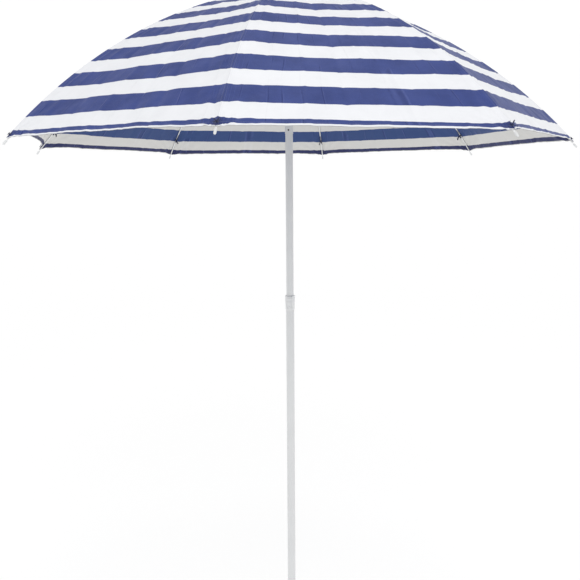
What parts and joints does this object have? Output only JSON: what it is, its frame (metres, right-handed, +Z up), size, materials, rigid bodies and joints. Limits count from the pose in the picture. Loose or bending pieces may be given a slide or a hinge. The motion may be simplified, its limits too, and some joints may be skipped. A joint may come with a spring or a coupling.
{
  "type": "beach umbrella",
  "caption": "Folding beach umbrella: striped octagonal gored canopy on wire ribs and stretchers, sliding runner, and a two-part height-adjustable pole with a push-tab collar and pointed foot.",
  "frame": {"origin": "on the pole's axis, at the lower end of the lower tube", "axes": "+Z up along the pole; rib 1, the push tab and the runner's catch face -Y"},
  "size_m": [1.823, 1.823, 2.2381],
  "materials": {
    "pole_coat": "satin white powder coat",
    "moulded_white": "moulded, fine grain",
    "wire_coat": "white coated steel wire",
    "bright_steel": "bright",
    "black_steel": "blackened steel",
    "canopy_cloth": "woven polyester, navy and white stripes"
  },
  "bodies": {
    "lower_pole": {"foot_point": "moulded_white", "lower_tube": "pole_coat", "collar": "moulded_white"},
    "push_tab": {"release_tab": "moulded_white"},
    "upper_pole": {"upper_tube": "pole_coat", "tube_plug": "moulded_white", "crown": "moulded_white", "crown_ring": "bright_steel", "crown_rivet": "bright_steel", "finial": "moulded_white"},
    "runner": {"runner": "moulded_white", "runner_ferrule": "pole_coat", "runner_ring": "bright_steel"},
    "catch_button": {"runner_catch": "black_steel"},
    "rib_1": {"rib_1": "wire_coat", "rib_tip_1": "moulded_white"},
    "stretcher_1": {"stretcher_1": "wire_coat"},
    "fold_1a": {"gore_1a": "canopy_cloth"},
    "fold_1b": {"gore_1b": "canopy_cloth"},
    "rib_2": {"rib_2": "wire_coat", "rib_tip_2": "moulded_white"},
    "stretcher_2": {"stretcher_2": "wire_coat"},
    "fold_2a": {"gore_2a": "canopy_cloth"},
    "fold_2b": {"gore_2b": "canopy_cloth"},
    "rib_3": {"rib_3": "wire_coat", "rib_tip_3": "moulded_white"},
    "stretcher_3": {"stretcher_3": "wire_coat"},
    "fold_3a": {"gore_3a": "canopy_cloth"},
    "fold_3b": {"gore_3b": "canopy_cloth"},
    "rib_4": {"rib_4": "wire_coat", "rib_tip_4": "moulded_white"},
    "stretcher_4": {"stretcher_4": "wire_coat"},
    "fold_4a": {"gore_4a": "canopy_cloth"},
    "fold_4b": {"gore_4b": "canopy_cloth"},
    "rib_5": {"rib_5": "wire_coat", "rib_tip_5": "moulded_white"},
    "stretcher_5": {"stretcher_5": "wire_coat"},
    "fold_5a": {"gore_5a": "canopy_cloth"},
    "fold_5b": {"gore_5b": "canopy_cloth"},
    "rib_6": {"rib_6": "wire_coat", "rib_tip_6": "moulded_white"},
    "stretcher_6": {"stretcher_6": "wire_coat"},
    "fold_6a": {"gore_6a": "canopy_cloth"},
    "fold_6b": {"gore_6b": "canopy_cloth"},
    "rib_7": {"rib_7": "wire_coat", "rib_tip_7": "moulded_white"},
    "stretcher_7": {"stretcher_7": "wire_coat"},
    "fold_7a": {"gore_7a": "canopy_cloth"},
    "fold_7b": {"gore_7b": "canopy_cloth"},
    "rib_8": {"rib_8": "wire_coat", "rib_tip_8": "moulded_white"},
    "stretcher_8": {"stretcher_8": "wire_coat"},
    "fold_8a": {"gore_8a": "canopy_cloth"},
    "fold_8b": {"gore_8b": "canopy_cloth"}
  },
  "joints": [
    {"name": "pole_height", "type": "slide", "parent": "lower_pole", "child": "upper_pole", "axis": [0, 0, 1], "range_m": [0, 0.2]},
    {"name": "tab_press", "type": "slide", "parent": "lower_pole", "child": "push_tab", "axis": [0, 1, 0], "range_m": [0, 0.002], "stiffness_N_per_m": 1500},
    {"name": "runner_slide", "type": "slide", "parent": "upper_pole", "child": "runner", "axis": [0, 0, 1], "range_m": [-0.47773, 0]},
    {"name": "catch_press", "type": "slide", "parent": "upper_pole", "child": "catch_button", "axis": [0, 1, 0], "range_m": [0, 0.002], "stiffness_N_per_m": 1500},
    {"name": "rib_fold_1", "type": "hinge", "parent": "upper_pole", "child": "rib_1", "pos_m": [0, -0.02, 2.15043], "axis": [1, 0, 0], "range_deg": [0, 60.05]},
    {"name": "stretcher_swing_1", "type": "hinge", "parent": "runner", "child": "stretcher_1", "pos_m": [0, -0.022, 1.741], "axis": [1, 0, 0], "range_deg": [-46.36, 0]},
    {"name": "gore_gather_1a", "type": "hinge", "parent": "rib_1", "child": "fold_1a", "pos_m": [0.00398, -0.02, 2.15043], "axis": [-0.3441, 0.8131, -0.4695], "range_deg": [0, 22.11], "deforming": ["gore_1a"]},
    {"name": "gore_gather_1b", "type": "hinge", "parent": "rib_1", "child": "fold_1b", "pos_m": [-0.00398, -0.02, 2.15043], "axis": [-0.3441, -0.8131, 0.4695], "range_deg": [0, 22.11], "deforming": ["gore_1b"]},
    {"name": "rib_fold_2", "type": "hinge", "parent": "upper_pole", "child": "rib_2", "pos_m": [0.01414, -0.01414, 2.15043], "axis": [0.7071, 0.7071, 0], "range_deg": [0, 60.05]},
    {"name": "stretcher_swing_2", "type": "hinge", "parent": "runner", "child": "stretcher_2", "pos_m": [0.01556, -0.01556, 1.741], "axis": [0.7071, 0.7071, 0], "range_deg": [-46.36, 0]},
    {"name": "gore_gather_2a", "type": "hinge", "parent": "rib_2", "child": "fold_2a", "pos_m": [0.01696, -0.01133, 2.15043], "axis": [-0.8183, 0.3316, -0.4695], "range_deg": [0, 22.11], "deforming": ["gore_2a"]},
    {"name": "gore_gather_2b", "type": "hinge", "parent": "rib_2", "child": "fold_2b", "pos_m": [0.01133, -0.01696, 2.15043], "axis": [0.3316, -0.8183, 0.4695], "range_deg": [0, 22.11], "deforming": ["gore_2b"]},
    {"name": "rib_fold_3", "type": "hinge", "parent": "upper_pole", "child": "rib_3", "pos_m": [0.02, 0, 2.15043], "axis": [0, 1, 0], "range_deg": [0, 60.05]},
    {"name": "stretcher_swing_3", "type": "hinge", "parent": "runner", "child": "stretcher_3", "pos_m": [0.022, 0, 1.741], "axis": [0, 1, 0], "range_deg": [-46.36, 0]},
    {"name": "gore_gather_3a", "type": "hinge", "parent": "rib_3", "child": "fold_3a", "pos_m": [0.02, 0.00398, 2.15043], "axis": [-0.8131, -0.3441, -0.4695], "range_deg": [0, 22.11], "deforming": ["gore_3a"]},
    {"name": "gore_gather_3b", "type": "hinge", "parent": "rib_3", "child": "fold_3b", "pos_m": [0.02, -0.00398, 2.15043], "axis": [0.8131, -0.3441, 0.4695], "range_deg": [0, 22.11], "deforming": ["gore_3b"]},
    {"name": "rib_fold_4", "type": "hinge", "parent": "upper_pole", "child": "rib_4", "pos_m": [0.01414, 0.01414, 2.15043], "axis": [-0.7071, 0.7071, 0], "range_deg": [0, 60.05]},
    {"name": "stretcher_swing_4", "type": "hinge", "parent": "runner", "child": "stretcher_4", "pos_m": [0.01556, 0.01556, 1.741], "axis": [-0.7071, 0.7071, 0], "range_deg": [-46.36, 0]},
    {"name": "gore_gather_4a", "type": "hinge", "parent": "rib_4", "child": "fold_4a", "pos_m": [0.01133, 0.01696, 2.15043], "axis": [-0.3316, -0.8183, -0.4695], "range_deg": [0, 22.11], "deforming": ["gore_4a"]},
    {"name": "gore_gather_4b", "type": "hinge", "parent": "rib_4", "child": "fold_4b", "pos_m": [0.01696, 0.01133, 2.15043], "axis": [0.8183, 0.3316, 0.4695], "range_deg": [0, 22.11], "deforming": ["gore_4b"]},
    {"name": "rib_fold_5", "type": "hinge", "parent": "upper_pole", "child": "rib_5", "pos_m": [0, 0.02, 2.15043], "axis": [-1, 0, 0], "range_deg": [0, 60.05]},
    {"name": "stretcher_swing_5", "type": "hinge", "parent": "runner", "child": "stretcher_5", "pos_m": [0, 0.022, 1.741], "axis": [-1, 0, 0], "range_deg": [-46.36, 0]},
    {"name": "gore_gather_5a", "type": "hinge", "parent": "rib_5", "child": "fold_5a", "pos_m": [-0.00398, 0.02, 2.15043], "axis": [0.3441, -0.8131, -0.4695], "range_deg": [0, 22.11], "deforming": ["gore_5a"]},
    {"name": "gore_gather_5b", "type": "hinge", "parent": "rib_5", "child": "fold_5b", "pos_m": [0.00398, 0.02, 2.15043], "axis": [0.3441, 0.8131, 0.4695], "range_deg": [0, 22.11], "deforming": ["gore_5b"]},
    {"name": "rib_fold_6", "type": "hinge", "parent": "upper_pole", "child": "rib_6", "pos_m": [-0.01414, 0.01414, 2.15043], "axis": [-0.7071, -0.7071, 0], "range_deg": [0, 60.05]},
    {"name": "stretcher_swing_6", "type": "hinge", "parent": "runner", "child": "stretcher_6", "pos_m": [-0.01556, 0.01556, 1.741], "axis": [-0.7071, -0.7071, 0], "range_deg": [-46.36, 0]},
    {"name": "gore_gather_6a", "type": "hinge", "parent": "rib_6", "child": "fold_6a", "pos_m": [-0.01696, 0.01133, 2.15043], "axis": [0.8183, -0.3316, -0.4695], "range_deg": [0, 22.11], "deforming": ["gore_6a"]},
    {"name": "gore_gather_6b", "type": "hinge", "parent": "rib_6", "child": "fold_6b", "pos_m": [-0.01133, 0.01696, 2.15043], "axis": [-0.3316, 0.8183, 0.4695], "range_deg": [0, 22.11], "deforming": ["gore_6b"]},
    {"name": "rib_fold_7", "type": "hinge", "parent": "upper_pole", "child": "rib_7", "pos_m": [-0.02, 0, 2.15043], "axis": [0, -1, 0], "range_deg": [0, 60.05]},
    {"name": "stretcher_swing_7", "type": "hinge", "parent": "runner", "child": "stretcher_7", "pos_m": [-0.022, 0, 1.741], "axis": [0, -1, 0], "range_deg": [-46.36, 0]},
    {"name": "gore_gather_7a", "type": "hinge", "parent": "rib_7", "child": "fold_7a", "pos_m": [-0.02, -0.00398, 2.15043], "axis": [0.8131, 0.3441, -0.4695], "range_deg": [0, 22.11], "deforming": ["gore_7a"]},
    {"name": "gore_gather_7b", "type": "hinge", "parent": "rib_7", "child": "fold_7b", "pos_m": [-0.02, 0.00398, 2.15043], "axis": [-0.8131, 0.3441, 0.4695], "range_deg": [0, 22.11], "deforming": ["gore_7b"]},
    {"name": "rib_fold_8", "type": "hinge", "parent": "upper_pole", "child": "rib_8", "pos_m": [-0.01414, -0.01414, 2.15043], "axis": [0.7071, -0.7071, 0], "range_deg": [0, 60.05]},
    {"name": "stretcher_swing_8", "type": "hinge", "parent": "runner", "child": "stretcher_8", "pos_m": [-0.01556, -0.01556, 1.741], "axis": [0.7071, -0.7071, 0], "range_deg": [-46.36, 0]},
    {"name": "gore_gather_8a", "type": "hinge", "parent": "rib_8", "child": "fold_8a", "pos_m": [-0.01133, -0.01696, 2.15043], "axis": [0.3316, 0.8183, -0.4695], "range_deg": [0, 22.11], "deforming": ["gore_8a"]},
    {"name": "gore_gather_8b", "type": "hinge", "parent": "rib_8", "child": "fold_8b", "pos_m": [-0.01696, -0.01133, 2.15043], "axis": [-0.8183, -0.3316, 0.4695], "range_deg": [0, 22.11], "deforming": ["gore_8b"]}
  ],
  "couplings": [
    {"joint": "rib_fold_1", "follows": "runner_slide", "rad_per_m": -2.192},
    {"joint": "stretcher_swing_1", "follows": "runner_slide", "rad_per_m": 1.6919},
    {"joint": "gore_gather_1a", "follows": "runner_slide", "rad_per_m": -0.80603},
    {"joint": "gore_gather_1b", "follows": "runner_slide", "rad_per_m": -0.80603},
    {"joint": "rib_fold_2", "follows": "runner_slide", "rad_per_m": -2.192},
    {"joint": "stretcher_swing_2", "follows": "runner_slide", "rad_per_m": 1.6919},
    {"joint": "gore_gather_2a", "follows": "runner_slide", "rad_per_m": -0.80603},
    {"joint": "gore_gather_2b", "follows": "runner_slide", "rad_per_m": -0.80603},
    {"joint": "rib_fold_3", "follows": "runner_slide", "rad_per_m": -2.192},
    {"joint": "stretcher_swing_3", "follows": "runner_slide", "rad_per_m": 1.6919},
    {"joint": "gore_gather_3a", "follows": "runner_slide", "rad_per_m": -0.80603},
    {"joint": "gore_gather_3b", "follows": "runner_slide", "rad_per_m": -0.80603},
    {"joint": "rib_fold_4", "follows": "runner_slide", "rad_per_m": -2.192},
    {"joint": "stretcher_swing_4", "follows": "runner_slide", "rad_per_m": 1.6919},
    {"joint": "gore_gather_4a", "follows": "runner_slide", "rad_per_m": -0.80603},
    {"joint": "gore_gather_4b", "follows": "runner_slide", "rad_per_m": -0.80603},
    {"joint": "rib_fold_5", "follows": "runner_slide", "rad_per_m": -2.192},
    {"joint": "stretcher_swing_5", "follows": "runner_slide", "rad_per_m": 1.6919},
    {"joint": "gore_gather_5a", "follows": "runner_slide", "rad_per_m": -0.80603},
    {"joint": "gore_gather_5b", "follows": "runner_slide", "rad_per_m": -0.80603},
    {"joint": "rib_fold_6", "follows": "runner_slide", "rad_per_m": -2.192},
    {"joint": "stretcher_swing_6", "follows": "runner_slide", "rad_per_m": 1.6919},
    {"joint": "gore_gather_6a", "follows": "runner_slide", "rad_per_m": -0.80603},
    {"joint": "gore_gather_6b", "follows": "runner_slide", "rad_per_m": -0.80603},
    {"joint": "rib_fold_7", "follows": "runner_slide", "rad_per_m": -2.192},
    {"joint": "stretcher_swing_7", "follows": "runner_slide", "rad_per_m": 1.6919},
    {"joint": "gore_gather_7a", "follows": "runner_slide", "rad_per_m": -0.80603},
    {"joint": "gore_gather_7b", "follows": "runner_slide", "rad_per_m": -0.80603},
    {"joint": "rib_fold_8", "follows": "runner_slide", "rad_per_m": -2.192},
    {"joint": "stretcher_swing_8", "follows": "runner_slide", "rad_per_m": 1.6919},
    {"joint": "gore_gather_8a", "follows": "runner_slide", "rad_per_m": -0.80603},
    {"joint": "gore_gather_8b", "follows": "runner_slide", "rad_per_m": -0.80603}
  ]
}
